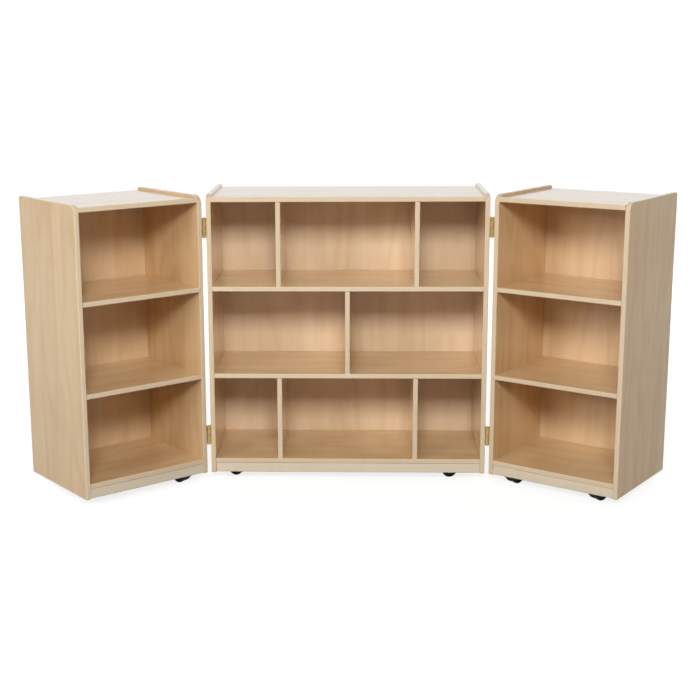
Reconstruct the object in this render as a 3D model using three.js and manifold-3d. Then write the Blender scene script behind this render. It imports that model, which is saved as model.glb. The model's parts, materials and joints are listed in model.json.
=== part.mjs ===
// A folding bookcase on casters. A centre section carries a half-width wing on each side. The
// wings swing forward on vertical butt hinges and close over the centre section like doors.
// Millimetres, +Z up. The shelves open towards -Y, and +X is the right-hand side of someone who
// faces them. The floor is at z = 0, and the origin is in the middle of the footprint that the
// bookcase has with its wings standing part open.
import * as THREE from "three";
import { mergeVertices } from "three/addons/utils/BufferGeometryUtils.js";
import Module from "manifold-3d";

const wasm = await Module();
wasm.setup();

// Sections
const CENTRE_WIDTH = 914.4; // over the centre section's two sides
const WING_MEETING_GAP = 2.4; // between the two wings when both are closed
const SECTION_DEPTH = 381; // front edge to back edge of a side
const SIDE_HEIGHT = 934;
const SIDE_RISE = 8; // of the sides above the top board
const SKIRT_HEIGHT = 34; // of the sides below the bottom board
const ROWS = 3;
const LEFT_WING_TURN_DEG = 39.57; // forward, from standing in line with the centre section
const RIGHT_WING_TURN_DEG = 34.17;

// Boards
const BOARD_THICKNESS = 16; // sides, shelves, dividers, top and bottom
const EDGE_RADIUS = 2.5; // on the edges that show
const UPPER_FRONT_RADIUS = 28; // a side's corners, seen from the side
const UPPER_BACK_RADIUS = 10;
const FOOT_RADIUS = 5;
const SHELF_SETBACK = 1; // of a shelf's front edge behind the sides' front edges
const DIVIDER_SETBACK = 2;
const OUTER_DIVIDER_OFFSET = 225; // of the outer dividers from the section's middle
const FIT = 0.3; // left between pieces that meet

// Joinery
const GROOVE_DEPTH = 4; // in a side, for the shelves' tongues and the back panel
const GROOVE_STOP = 20; // where the grooves end behind a side's front edge, so that none shows
const TOP_TONGUE = 8; // thickness of the top board's tongues, which leave its upper face clear
const BACK_THICKNESS = 6;
const BACK_RECESS = 30; // of the back panel's rear face in front of the sides' back edges
const REBATE_HEIGHT = 8; // in the top and bottom boards, for the back panel's edges
const RAIL_HEIGHT = 32.5; // the front rail, under the bottom board
const RAIL_THICKNESS = 12;
const RAIL_SETBACK = 4;

// Hinges
const HINGE_HEIGHT = 64;
const LEAF_WIDTH = 30; // from the pin's axis back along the side
const LEAF_THICKNESS = 3;
const LEAF_CORNER_RADIUS = 5;
const PIN_DIAMETER = 6;
const PIN_CLEARANCE = 0.3; // round the pin in the wing leaf's knuckles
const PIN_FORWARD = 1.5; // of the pin's axis in front of the sections' front edges
const KNUCKLES = 5;
const KNUCKLE_GAP = 0.4;
const SCREW_HOLE_DIAMETER = 4.5;
const UPPER_HINGE_DROP = 106; // a hinge's middle below the sides' upper edges
const LOWER_HINGE_RISE = 132; // and above their lower edges

// Casters
const WHEEL_DIAMETER = 50;
const WHEEL_WIDTH = 13; // of each of the two wheels
const WHEEL_CHAMFER = 2;
const WHEEL_DISH = 3;
const WHEEL_RIM = 4; // flat ring round the dish
const AXLE_DIAMETER = 6;
const AXLE_CLEARANCE = 0.3;
const CASTER_TRAIL = 18; // from the swivel axis to the axle
const SPINE_WIDTH = 12; // the housing between the two wheels
const SPINE_GAP = 0.6; // between the spine and each wheel
const HUB_WALL = 4; // the spine below the axle
const HOOD_WALL = 2.5;
const HOOD_REAR_DEG = -15; // where the hood ends, about the axle, from level behind it
const HOOD_FRONT_DEG = 180;
const HUB_ARC_DEG = [225, 315]; // the round lower end of the spine
const HOOD_GAP = 1.2; // between the wheels and the hood over them
const COLLAR_DIAMETER = 22;
const COLLAR_HEIGHT = 13;
const COLLAR_STAND = 4; // of the collar above the hood
const RACE_GAP = 0.3; // running gap under the mounting plate
const PLATE_SIZE = 42;
const PLATE_THICKNESS = 2.5;
const PLATE_CORNER_RADIUS = 4;
const KING_PIN_DIAMETER = 7;
const KING_PIN_LENGTH = 14;
const KING_PIN_CLEARANCE = 0.3;
const BOSS_FLOOR = 3; // under the king pin's bore
const SWING_CLEARANCE = 1.5; // behind the front rail, as a caster swivels
const WING_SIDE_CLEARANCE = 11; // beside a swivelling caster, in a wing
const CENTRE_SIDE_CLEARANCE = 31; // and in the centre section

// Facets
const WHEEL_SIDES = 16;
const ROUND_SIDES = 12; // pins, knuckles and collars
const HOLE_SIDES = 8;
const CORNER_FACETS = 4; // round a side's corner
const EDGE_FACETS = 2; // round an edge
const HOOD_FACETS = 9;
const HUB_FACETS = 3;
const OVERRUN = 1; // of a cut past the face it opens, and of joined solids into each other

// Where a caster's wheels trail, in degrees from +X towards +Y in its own section
const CASTER_HEADINGS_DEG = {
  centre: { front_left: 160, front_right: 190, back_left: 140, back_right: 55 },
  left_wing: { front_left: 80, front_right: 290, back_left: 205, back_right: 120 },
  right_wing: { front_left: 250, front_right: 245, back_left: 35, back_right: 310 },
};

// Worked out from the sizes above
const flatToCorner = (sides) => 1 / Math.cos(Math.PI / sides);
const wheelRadius = (WHEEL_DIAMETER / 2) * flatToCorner(WHEEL_SIDES);
const wellRadius = wheelRadius + HOOD_GAP;
const hoodRadius = wellRadius + HOOD_WALL;
const casterHalfWidth = SPINE_WIDTH / 2 + SPINE_GAP + WHEEL_WIDTH;
const swingRadius = Math.hypot(CASTER_TRAIL + hoodRadius, casterHalfWidth);
const collarTop = WHEEL_DIAMETER / 2 + hoodRadius + COLLAR_STAND;
const plateBottom = collarTop + RACE_GAP;
const bottomBoardZ = plateBottom + PLATE_THICKNESS;
const casterInset = RAIL_SETBACK + RAIL_THICKNESS + SWING_CLEARANCE + swingRadius;
const sideBottom = bottomBoardZ - SKIRT_HEIGHT;
const sideTop = sideBottom + SIDE_HEIGHT;
const boardsHeight = SIDE_HEIGHT - SKIRT_HEIGHT - SIDE_RISE;
const rowHeight = (boardsHeight - (ROWS + 1) * BOARD_THICKNESS) / ROWS;
const rowPitch = rowHeight + BOARD_THICKNESS;
const wingWidth = (CENTRE_WIDTH - WING_MEETING_GAP) / 2;
const backRear = SECTION_DEPTH - BACK_RECESS;
const backFront = backRear - BACK_THICKNESS;
const knuckleRadius = PIN_DIAMETER / 2 + LEAF_THICKNESS; // a leaf rolled round the pin
const pinOffset = knuckleRadius + FIT; // of the pin's axis from a side's outer face
const boardZ = (row) => bottomBoardZ + row * rowPitch;

// Finishes
const finish = (color, roughness, metalness) =>
  new THREE.MeshStandardMaterial({ color, roughness, metalness });
const BIRCH = finish(0xdcc8a6, 0.35, 0);
const BIRCH_BACK = finish(0xd2bb95, 0.4, 0);
const BRASS = finish(0xb59a5b, 0.35, 1);
const HOOD_BLACK = finish(0x17181a, 0.45, 0);
const TREAD_BLACK = finish(0x0e0f10, 0.7, 0);

// A closed solid from a geometry.
function solid(geometry) {
  const bare = geometry.clone();
  bare.deleteAttribute("normal");
  bare.deleteAttribute("uv");
  const merged = mergeVertices(bare);
  return new wasm.Manifold(
    new wasm.Mesh({
      numProp: 3,
      vertProperties: merged.getAttribute("position").array,
      triVerts: new Uint32Array(merged.index.array),
    }),
  );
}

const joined = (...solids) => solids.reduce((all, next) => all.add(next));
const cut = (body, ...tools) => tools.reduce((left, tool) => left.subtract(tool), body);

// A named mesh from a solid, shaded flat.
function piece(name, made, material) {
  const mesh = made.getMesh();
  const geometry = new THREE.BufferGeometry();
  geometry.setAttribute("position", new THREE.BufferAttribute(mesh.vertProperties, 3));
  geometry.setIndex(new THREE.BufferAttribute(mesh.triVerts, 1));
  const flat = geometry.toNonIndexed();
  flat.computeVertexNormals();
  const result = new THREE.Mesh(flat, material);
  result.name = name;
  return result;
}

// Points along an arc, both of its ends included.
function arcPoints(x, y, radius, fromDeg, toDeg, facets) {
  const [from, to] = [fromDeg, toDeg].map(THREE.MathUtils.degToRad);
  return new THREE.EllipseCurve(x, y, radius, radius, from, to).getPoints(facets);
}

// A rectangle's outline from (x0, y0) to (x1, y1). radii go round from the corner at (x0, y0),
// anticlockwise, and a corner of radius zero stays sharp.
function rectangle(x0, y0, x1, y1, radii, facets = EDGE_FACETS) {
  const limit = Math.min(x1 - x0, y1 - y0) / 2;
  const corners = [
    [x0, y0, 1, 1],
    [x1, y0, -1, 1],
    [x1, y1, -1, -1],
    [x0, y1, 1, -1],
  ];
  const points = corners.flatMap(([x, y, inwardX, inwardY], quarter) => {
    const r = Math.min(radii[quarter], limit);
    const from = 180 + quarter * 90;
    const centre = [x + inwardX * r, y + inwardY * r];
    return r > 0 ? arcPoints(...centre, r, from, from + 90, facets) : new THREE.Vector2(x, y);
  });
  return new THREE.Shape(points);
}

// An outline extruded by a length. With a round, both of its end edges are rounded too, and
// the outline stays the outermost one.
function extruded(outline, length, round = 0) {
  const geometry = new THREE.ExtrudeGeometry(outline, {
    depth: length - 2 * round,
    bevelEnabled: round > 0,
    bevelThickness: round,
    bevelSize: round,
    bevelOffset: -round,
    bevelSegments: EDGE_FACETS,
  });
  return geometry.translate(0, 0, round);
}

// Turns a geometry drawn in X and Y and extruded along Z, so that these become the axes named.
const turned = (geometry, ...axes) =>
  geometry.applyMatrix4(new THREE.Matrix4().makeBasis(...axes));
const X = new THREE.Vector3(1, 0, 0);
const Y = new THREE.Vector3(0, 1, 0);
const Z = new THREE.Vector3(0, 0, 1);
const alongX = (geometry) => turned(geometry, Y, Z, X);

// A box between two corners.
function box(x0, y0, z0, x1, y1, z1) {
  const geometry = new THREE.BoxGeometry(x1 - x0, y1 - y0, z1 - z0);
  return solid(geometry.translate((x0 + x1) / 2, (y0 + y1) / 2, (z0 + z1) / 2));
}

// An upright cylinder between two heights.
function cylinder(radius, z0, z1, sides = ROUND_SIDES) {
  const geometry = new THREE.CylinderGeometry(radius, radius, z1 - z0, sides);
  return geometry.rotateX(Math.PI / 2).translate(0, 0, (z0 + z1) / 2);
}

// A side panel, from its outer face at x = 0 to its inner face at x = thickness. The inner
// face has a stopped groove for each board's tongue and one for the back panel.
function sidePanel() {
  const radii = [FOOT_RADIUS, FOOT_RADIUS, UPPER_BACK_RADIUS, UPPER_FRONT_RADIUS];
  const outline = rectangle(0, sideBottom, SECTION_DEPTH, sideTop, radii, CORNER_FACETS);
  const panel = solid(alongX(extruded(outline, BOARD_THICKNESS, EDGE_RADIUS)));
  const floor = BOARD_THICKNESS - GROOVE_DEPTH;
  const past = BOARD_THICKNESS + OVERRUN;
  const grooves = [];
  for (let row = 0; row <= ROWS; row++) {
    const z = boardZ(row);
    const top = z + (row < ROWS ? BOARD_THICKNESS : TOP_TONGUE) + FIT;
    grooves.push(box(floor, GROOVE_STOP, z - FIT, past, backRear + FIT, top));
  }
  grooves.push(
    box(
      floor,
      backFront - FIT,
      bottomBoardZ + BOARD_THICKNESS - REBATE_HEIGHT - FIT,
      past,
      backRear + FIT,
      boardZ(ROWS) + REBATE_HEIGHT + FIT,
    ),
  );
  return cut(panel, ...grooves);
}

// A board across a section, with its middle at x = 0 and its lower face at z = 0. Its tongues
// enter the sides' grooves and stop short of the front, where the board only meets the sides.
function crossBoard(clearWidth, back) {
  const outline = rectangle(SHELF_SETBACK, 0, back, BOARD_THICKNESS, [
    EDGE_RADIUS,
    0,
    0,
    EDGE_RADIUS,
  ]);
  const half = clearWidth / 2 + GROOVE_DEPTH - FIT;
  const shoulder = clearWidth / 2 - FIT;
  const board = solid(alongX(extruded(outline, 2 * half)).translate(-half, 0, 0));
  const notches = [-1, 1].map((end) =>
    box(
      end > 0 ? shoulder : -half - OVERRUN,
      -OVERRUN,
      -OVERRUN,
      end > 0 ? half + OVERRUN : -shoulder,
      GROOVE_STOP + FIT,
      BOARD_THICKNESS + OVERRUN,
    ),
  );
  return cut(board, ...notches);
}

// The top or bottom board, which reaches behind the back panel and takes its edge in a rebate.
function endBoard(clearWidth, rebateFrom, rebateTo) {
  const half = clearWidth / 2 + GROOVE_DEPTH;
  const front = backFront - FIT;
  const rebate = box(-half, front, rebateFrom, half, backRear + OVERRUN, rebateTo);
  return cut(crossBoard(clearWidth, backRear), rebate);
}

// The top board, whose tongues are its lower part only.
function topBoard(clearWidth) {
  const board = endBoard(clearWidth, -OVERRUN, REBATE_HEIGHT + FIT);
  const shoulder = clearWidth / 2 - FIT;
  const end = clearWidth / 2 + GROOVE_DEPTH;
  const steps = [-1, 1].map((side) =>
    box(
      side > 0 ? shoulder : -end,
      -OVERRUN,
      TOP_TONGUE,
      side > 0 ? end : -shoulder,
      backRear + OVERRUN,
      BOARD_THICKNESS + OVERRUN,
    ),
  );
  return cut(board, ...steps);
}

// The bottom board, with the front rail under it and, for each caster, a mounting plate and
// the king pin that the caster swivels on.
function bottomBoard(clearWidth, casterPlaces) {
  const seat = BOARD_THICKNESS - REBATE_HEIGHT - FIT;
  const board = endBoard(clearWidth, seat, BOARD_THICKNESS + OVERRUN);
  const half = clearWidth / 2 - FIT;
  const railOutline = rectangle(
    RAIL_SETBACK,
    -RAIL_HEIGHT,
    RAIL_SETBACK + RAIL_THICKNESS,
    OVERRUN,
    [EDGE_RADIUS, EDGE_RADIUS, 0, 0],
  );
  const rail = solid(alongX(extruded(railOutline, 2 * half)).translate(-half, 0, 0));
  const mountings = casterPlaces.map(({ x, y }) => mounting().translate([x, y, 0]));
  return joined(board, rail, ...mountings);
}

// A caster's mounting plate and king pin, below z = 0.
function mounting() {
  const edge = PLATE_SIZE / 2;
  const radii = Array(4).fill(PLATE_CORNER_RADIUS);
  const outline = rectangle(-edge, -edge, edge, edge, radii);
  const plate = extruded(outline, PLATE_THICKNESS + OVERRUN);
  const pinRadius = KING_PIN_DIAMETER / 2;
  const pin = cylinder(pinRadius, -PLATE_THICKNESS - KING_PIN_LENGTH, 0);
  return joined(solid(plate.translate(0, 0, -PLATE_THICKNESS)), solid(pin));
}

// An upright divider, with its middle at x = 0 and its foot at z = 0.
function divider() {
  const half = BOARD_THICKNESS / 2;
  const outline = rectangle(-half, DIVIDER_SETBACK, half, backFront - FIT, [
    EDGE_RADIUS,
    EDGE_RADIUS,
    0,
    0,
  ]);
  return solid(extruded(outline, rowHeight - 2 * FIT));
}

function backPanel(clearWidth) {
  const half = clearWidth / 2 + GROOVE_DEPTH - FIT;
  const foot = bottomBoardZ + BOARD_THICKNESS - REBATE_HEIGHT;
  return box(-half, backFront, foot, half, backRear, boardZ(ROWS) + REBATE_HEIGHT);
}

// A section's four caster places, on the bottom board.
function casterPlaces(clearWidth, sideClearance) {
  const x = clearWidth / 2 - swingRadius - sideClearance;
  return [
    { corner: "front_left", x: -x, y: casterInset },
    { corner: "front_right", x, y: casterInset },
    { corner: "back_left", x: -x, y: SECTION_DEPTH - casterInset },
    { corner: "back_right", x, y: SECTION_DEPTH - casterInset },
  ];
}

// One section: its case, shelves, dividers and casters. Its front edges are at y = 0 and its
// middle is at x = 0. sideNames are its left and right side's, and dividers lists the rows'
// dividers as [name, row, x].
function section(prefix, width, sideClearance, sideNames, dividers) {
  const group = new THREE.Group();
  const clearWidth = width - 2 * BOARD_THICKNESS;
  const places = casterPlaces(clearWidth, sideClearance);
  const add = (name, made, material, x = 0, z = 0) => {
    const mesh = piece(prefix + "_" + name, made, material);
    mesh.position.set(x, 0, z);
    group.add(mesh);
  };
  const side = sidePanel();
  add(sideNames[0], side, BIRCH, -width / 2);
  add(sideNames[1], side.mirror([1, 0, 0]), BIRCH, width / 2);
  add("bottom_board", bottomBoard(clearWidth, places), BIRCH, 0, bottomBoardZ);
  add("lower_shelf", crossBoard(clearWidth, backFront - FIT), BIRCH, 0, boardZ(1));
  add("upper_shelf", crossBoard(clearWidth, backFront - FIT), BIRCH, 0, boardZ(2));
  add("top_board", topBoard(clearWidth), BIRCH, 0, boardZ(ROWS));
  add("back_panel", backPanel(clearWidth), BIRCH_BACK);
  for (const [name, row, x] of dividers) {
    add(name, divider(), BIRCH, x, boardZ(row) + BOARD_THICKNESS + FIT);
  }
  const housing = casterHousing();
  const wheelPair = casterWheels();
  for (const { corner, x, y } of places) {
    const heading = CASTER_HEADINGS_DEG[prefix][corner];
    const unit = caster(prefix + "_" + corner, housing, wheelPair);
    unit.position.set(x, y, 0);
    unit.rotation.z = THREE.MathUtils.degToRad(heading);
    group.add(unit);
  }
  return group;
}

// A twin-wheel caster, on its swivel axis at x = y = 0 and with its wheels trailing to +X.
function caster(prefix, housing, wheelPair) {
  const group = new THREE.Group();
  group.add(piece(prefix + "_caster_housing", housing, HOOD_BLACK));
  const wheels = piece(prefix + "_caster_wheels", wheelPair, TREAD_BLACK);
  wheels.position.set(CASTER_TRAIL, 0, WHEEL_DIAMETER / 2);
  group.add(wheels);
  return group;
}

// The moulded housing: a hood over both wheels, a spine between them that holds the axle, and
// a collar and boss round the king pin.
function casterHousing() {
  const axleZ = WHEEL_DIAMETER / 2;
  const hubRadius = AXLE_DIAMETER / 2 + AXLE_CLEARANCE + HUB_WALL;
  const arc = (radius, from, to, facets) =>
    arcPoints(CASTER_TRAIL, axleZ, radius, from, to, facets);
  const outline = new THREE.Shape([
    ...arc(hoodRadius, HOOD_REAR_DEG, HOOD_FRONT_DEG, HOOD_FACETS),
    ...arc(hubRadius, ...HUB_ARC_DEG, HUB_FACETS),
  ]);
  // The outline is drawn in X and Z here, so it is extruded towards -Y.
  const shell = turned(extruded(outline, 2 * casterHalfWidth), X, Z, Y.clone().negate());
  shell.translate(0, casterHalfWidth, 0);
  const boreRadius =
    (KING_PIN_DIAMETER / 2 + KING_PIN_CLEARANCE) * flatToCorner(ROUND_SIDES);
  const boreFloor = collarTop - KING_PIN_LENGTH;
  const bossFloor = boreFloor - BOSS_FLOOR;
  const body = joined(
    solid(shell),
    solid(cylinder(COLLAR_DIAMETER / 2, collarTop - COLLAR_HEIGHT, collarTop)),
    solid(cylinder(SPINE_WIDTH / 2, bossFloor, collarTop)),
  );
  const wells = [-1, 1].map((end) => {
    const depth = casterHalfWidth - SPINE_WIDTH / 2 + OVERRUN;
    const radius = wellRadius * flatToCorner(WHEEL_SIDES);
    const well = new THREE.CylinderGeometry(radius, radius, depth, WHEEL_SIDES);
    const y = end * (SPINE_WIDTH / 2 + depth / 2);
    return solid(well.translate(CASTER_TRAIL, y, axleZ));
  });
  const axleRadius = (AXLE_DIAMETER / 2 + AXLE_CLEARANCE) * flatToCorner(ROUND_SIDES);
  const axleLength = SPINE_WIDTH + 2 * OVERRUN;
  const axleBore = new THREE.CylinderGeometry(axleRadius, axleRadius, axleLength, ROUND_SIDES);
  axleBore.translate(CASTER_TRAIL, 0, axleZ);
  const pinBore = cylinder(boreRadius, boreFloor, collarTop + OVERRUN);
  return cut(body, ...wells, solid(axleBore), solid(pinBore));
}

// Both wheels and their axle, turned as one about the axle, along Y. A flat facet of the tread
// is underneath.
function casterWheels() {
  const inner = SPINE_WIDTH / 2 + SPINE_GAP;
  const tread = wheelRadius;
  const half = [
    [0, casterHalfWidth - WHEEL_DISH],
    [tread - WHEEL_CHAMFER - WHEEL_RIM, casterHalfWidth],
    [tread - WHEEL_CHAMFER, casterHalfWidth],
    [tread, casterHalfWidth - WHEEL_CHAMFER],
    [tread, inner],
    [AXLE_DIAMETER / 2, inner],
  ];
  const lower = half.map(([r, y]) => new THREE.Vector2(r, -y));
  const upper = half.map(([r, y]) => new THREE.Vector2(r, y)).reverse();
  const wheels = new THREE.LatheGeometry([...lower, ...upper], WHEEL_SIDES);
  return solid(wheels.rotateY(Math.PI / WHEEL_SIDES));
}

// One hinge leaf, with the pin's axis upright at the origin. Its plate lies on the side at
// x = pinOffset and reaches back from the axis. own tells which knuckles are rolled from it.
function hingeLeaf(own) {
  const bottom = -HINGE_HEIGHT / 2;
  const knuckleHeight = (HINGE_HEIGHT - (KNUCKLES - 1) * KNUCKLE_GAP) / KNUCKLES;
  const plateFront = knuckleRadius + KNUCKLE_GAP;
  const plateOutline = rectangle(plateFront, bottom, LEAF_WIDTH, -bottom, [
    0,
    LEAF_CORNER_RADIUS,
    LEAF_CORNER_RADIUS,
    0,
  ]);
  const inside = knuckleRadius - LEAF_THICKNESS;
  const plate = solid(
    alongX(extruded(plateOutline, LEAF_THICKNESS)).translate(inside, 0, 0),
  );
  const knuckles = own.map((index) => {
    const z0 = bottom + index * (knuckleHeight + KNUCKLE_GAP);
    const z1 = z0 + knuckleHeight;
    const tab = box(inside, 0, z0, knuckleRadius, plateFront + OVERRUN, z1);
    return joined(tab, solid(cylinder(knuckleRadius, z0, z1)));
  });
  return cut(joined(plate, ...knuckles), ...screwHoles(plateFront));
}

// Three staggered screw holes through a leaf's plate.
function screwHoles(plateFront) {
  const rowsShare = [-1 / 3, 0, 1 / 3];
  const acrossShare = [0.35, 0.65, 0.35];
  return rowsShare.map((share, index) => {
    const hole = new THREE.CylinderGeometry(
      SCREW_HOLE_DIAMETER / 2,
      SCREW_HOLE_DIAMETER / 2,
      LEAF_THICKNESS + 2 * OVERRUN,
      HOLE_SIDES,
    ).rotateZ(Math.PI / 2);
    const y = plateFront + acrossShare[index] * (LEAF_WIDTH - plateFront);
    const x = knuckleRadius - LEAF_THICKNESS / 2;
    return solid(hole.translate(x, y, share * HINGE_HEIGHT));
  });
}

const knuckleIndexes = [...Array(KNUCKLES).keys()];

// The centre section's leaf, with the pin fixed in its knuckles.
function fixedLeaf() {
  const half = HINGE_HEIGHT / 2;
  const pin = solid(cylinder(PIN_DIAMETER / 2, -half, half));
  return joined(hingeLeaf(knuckleIndexes.filter((index) => index % 2 === 0)), pin);
}

// The wing's leaf, whose knuckles turn on the pin.
function wingLeaf() {
  const half = HINGE_HEIGHT / 2 + OVERRUN;
  const radius = (PIN_DIAMETER / 2 + PIN_CLEARANCE) * flatToCorner(ROUND_SIDES);
  const bore = solid(cylinder(radius, -half, half));
  return cut(hingeLeaf(knuckleIndexes.filter((index) => index % 2 === 1)), bore);
}

// Both hinges' leaves for one body, mirrored for the other side of the pin.
function hingeLeaves(prefix, kind, leaf, mirrored) {
  const made = mirrored ? leaf.mirror([1, 0, 0]) : leaf;
  const heights = {
    upper: sideTop - UPPER_HINGE_DROP,
    lower: sideBottom + LOWER_HINGE_RISE,
  };
  return Object.entries(heights).map(([place, z]) => {
    const mesh = piece(`${prefix}_${place}_hinge_${kind}_leaf`, made, BRASS);
    mesh.position.z = z;
    return mesh;
  });
}

// A wing on its pins. toLeft is true for the left one. The group's origin is on the pins'
// axis, and it turns about that axis.
function wing(prefix, toLeft, turnDeg) {
  const group = new THREE.Group();
  const outward = toLeft ? -1 : 1;
  const sideNames = toLeft ? ["outer_side", "inner_side"] : ["inner_side", "outer_side"];
  const shelves = section(prefix, wingWidth, WING_SIDE_CLEARANCE, sideNames, []);
  shelves.position.set(outward * (pinOffset + wingWidth / 2), PIN_FORWARD, 0);
  group.add(shelves, ...hingeLeaves(prefix, "wing", wingLeaf(), toLeft));
  group.rotation.z = -outward * THREE.MathUtils.degToRad(turnDeg);
  return group;
}

// The whole bookcase, about the middle of the centre section's front.
function bookcase() {
  const group = new THREE.Group();
  const offset = OUTER_DIVIDER_OFFSET;
  const centre = section(
    "centre",
    CENTRE_WIDTH,
    CENTRE_SIDE_CLEARANCE,
    ["left_side", "right_side"],
    [
      ["lower_left_divider", 0, -offset],
      ["lower_right_divider", 0, offset],
      ["middle_divider", 1, 0],
      ["upper_left_divider", 2, -offset],
      ["upper_right_divider", 2, offset],
    ],
  );
  group.add(centre);
  for (const toLeft of [true, false]) {
    const prefix = toLeft ? "left_wing" : "right_wing";
    const turn = toLeft ? LEFT_WING_TURN_DEG : RIGHT_WING_TURN_DEG;
    const pins = new THREE.Group();
    pins.position.x = (toLeft ? -1 : 1) * (CENTRE_WIDTH / 2 + pinOffset);
    pins.position.y = -PIN_FORWARD;
    pins.add(...hingeLeaves(prefix, "fixed", fixedLeaf(), !toLeft));
    pins.add(wing(prefix, toLeft, turn));
    group.add(pins);
  }
  return group;
}

// The group with the middle of its footprint on the origin.
function onFootprint(group) {
  const bounds = new THREE.Box3().setFromObject(group, true);
  const middle = bounds.getCenter(new THREE.Vector3());
  group.position.set(-middle.x, -middle.y, 0);
  const root = new THREE.Group();
  root.name = "folding_bookcase";
  root.add(group);
  return root;
}

export default onFootprint(bookcase());
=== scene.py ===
# The looks of a folding bookcase: lacquered birch boards, brass butt hinges and black twin-wheel
# casters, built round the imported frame. Metres, in the frame's own axes.
import json
import math
import random

import bmesh
import bpy
from mathutils import Matrix, Vector


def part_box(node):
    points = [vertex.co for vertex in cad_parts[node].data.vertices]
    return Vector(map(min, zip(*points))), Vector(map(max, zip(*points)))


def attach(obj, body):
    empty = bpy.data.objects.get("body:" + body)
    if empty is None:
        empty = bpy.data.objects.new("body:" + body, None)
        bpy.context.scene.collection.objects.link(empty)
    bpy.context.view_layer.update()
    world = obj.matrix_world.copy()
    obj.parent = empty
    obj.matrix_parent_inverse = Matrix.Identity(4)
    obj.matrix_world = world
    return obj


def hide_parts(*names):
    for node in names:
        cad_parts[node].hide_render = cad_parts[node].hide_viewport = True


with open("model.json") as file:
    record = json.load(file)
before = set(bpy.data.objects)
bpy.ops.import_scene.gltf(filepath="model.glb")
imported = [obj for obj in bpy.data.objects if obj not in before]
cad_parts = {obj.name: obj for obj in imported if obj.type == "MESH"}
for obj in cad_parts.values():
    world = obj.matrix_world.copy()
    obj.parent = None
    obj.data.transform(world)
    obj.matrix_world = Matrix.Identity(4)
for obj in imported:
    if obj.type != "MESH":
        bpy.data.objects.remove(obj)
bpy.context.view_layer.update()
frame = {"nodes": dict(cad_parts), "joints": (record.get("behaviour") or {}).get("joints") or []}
NODES = frame["nodes"]
JOINTS = {joint["name"]: joint for joint in frame["joints"]}

# Camera, fitted to the photograph
IMAGE_SIZE = 700  # pixels, both ways
FOCAL_PIXELS = 1305.082
PRINCIPAL_POINT = (308.576, 338.747)  # pixels from the upper left corner
CAMERA_PLACE = Vector((0.035065, -4.229025, 1.40026))
CAMERA_YAW = math.radians(2.209)
CAMERA_PITCH = math.radians(12.285)
CAMERA_ROLL = math.radians(0.382)
SENSOR_WIDTH = 36.0  # mm

# Light and floor
WHITE = (1, 1, 1, 1)
WORLD_LIGHT = 0.06
STUDIO_DIRECTION = (-0.45, 0.89, 0)  # from the dim side of the studio to its white backdrop
STUDIO_DIM = 0.4  # the dim side, as the bookcase's gloss mirrors it
STUDIO_BRIGHT = 1.05
STUDIO_BLEND = (0.05, 0.6)  # share of that direction between which the one turns to the other
FLOOR_COLOUR = (0.30, 0.30, 0.30, 1)
FLOOR_ROUGHNESS = 0.9
FLOOR_GLOW_NEAR = 0.82  # beside the bookcase, where its shadow lies
FLOOR_GLOW_FAR = 0.97
FLOOR_GLOW_REACH = (1.2, 4.5)  # distances from the origin between which the glow rises
FLOOR_MIRRORED_DIM = 0.4  # share of the glow that shows in the bookcase's gloss
FLOOR_MIRRORED_BRIGHT = 0.75
FLOOR_MIRRORED_BLEND = (-0.3, 1.5)  # distances along that direction, from the origin
FLOOR_HALF = 30.0
LIGHT_TARGET = Vector((0, 0, 0.5))
SOFTBOXES = (  # name, place, width, height and watts
    ("left", (-3.45, -3.45, 2.3), 1.6, 1.0, 80),
    ("front", (0, -4.6, 2.95), 1.6, 1.0, 176),
    ("right", (4.9, -0.9, 1.85), 1.6, 1.0, 29),
    ("back_left", (-3.4, 4.4, 1.9), 1.6, 1.0, 100),
    ("back_right", (3.4, 4.4, 1.9), 1.6, 1.0, 100),
)

# Wood
GRAIN_LAYERS = {  # stretch along and across the grain, then the noise's scale, detail and the rest
    "drift": (0.9, 4.2, 1.0, 2.0, 0.45, 0.0),
    "ripple": (5, 36, 1.0, 2.0, 0.5, 0.0),
    "broad": (0.7, 19, 1.0, 3.0, 0.55, 0.0),
    "fine": (6, 420, 1.0, 3.0, 0.6, 0.0),
    "pores": (34, 1500, 1.0, 1.0, 0.5, 0.0),
    "curl": (22, 5, 1.0, 2.0, 0.5, 0.6),
    "piece": (0.01, 0.01, 7.0, 0.0, 0.5, 0.0),
}
GRAIN_TINTS = (  # how dark a layer makes the wood, at most, from the lower value to the upper
    ("broad", 0.3, 0.7, 0.34),
    ("fine", 0.3, 0.7, 0.20),
    ("curl", 0.35, 0.7, 0.10),
    ("piece", 0.3, 0.7, 0.22),
)
RING_RIPPLE = 0.35
RING_SHARPNESS = 2.2
PORE_RANGE = (0.66, 0.78)
PORE_DARKNESS = 0.22
PORE_HEIGHT = 0.6  # beside the fine layer's
VENEER_START = 40  # metres into the sheet at which a piece may be cut, at most

# Boards
EDGE_RADIUS = 0.0025
EASED_EDGE = 0.0004  # on edges that aren't rounded
UPPER_FRONT_RADIUS = 0.028  # a side's corners
UPPER_BACK_RADIUS = 0.010
FOOT_RADIUS = 0.005
JOINT_GAP = 0.0002  # between boards that meet
RAIL_SETBACK = 0.004
RAIL_THICKNESS = 0.012

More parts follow.
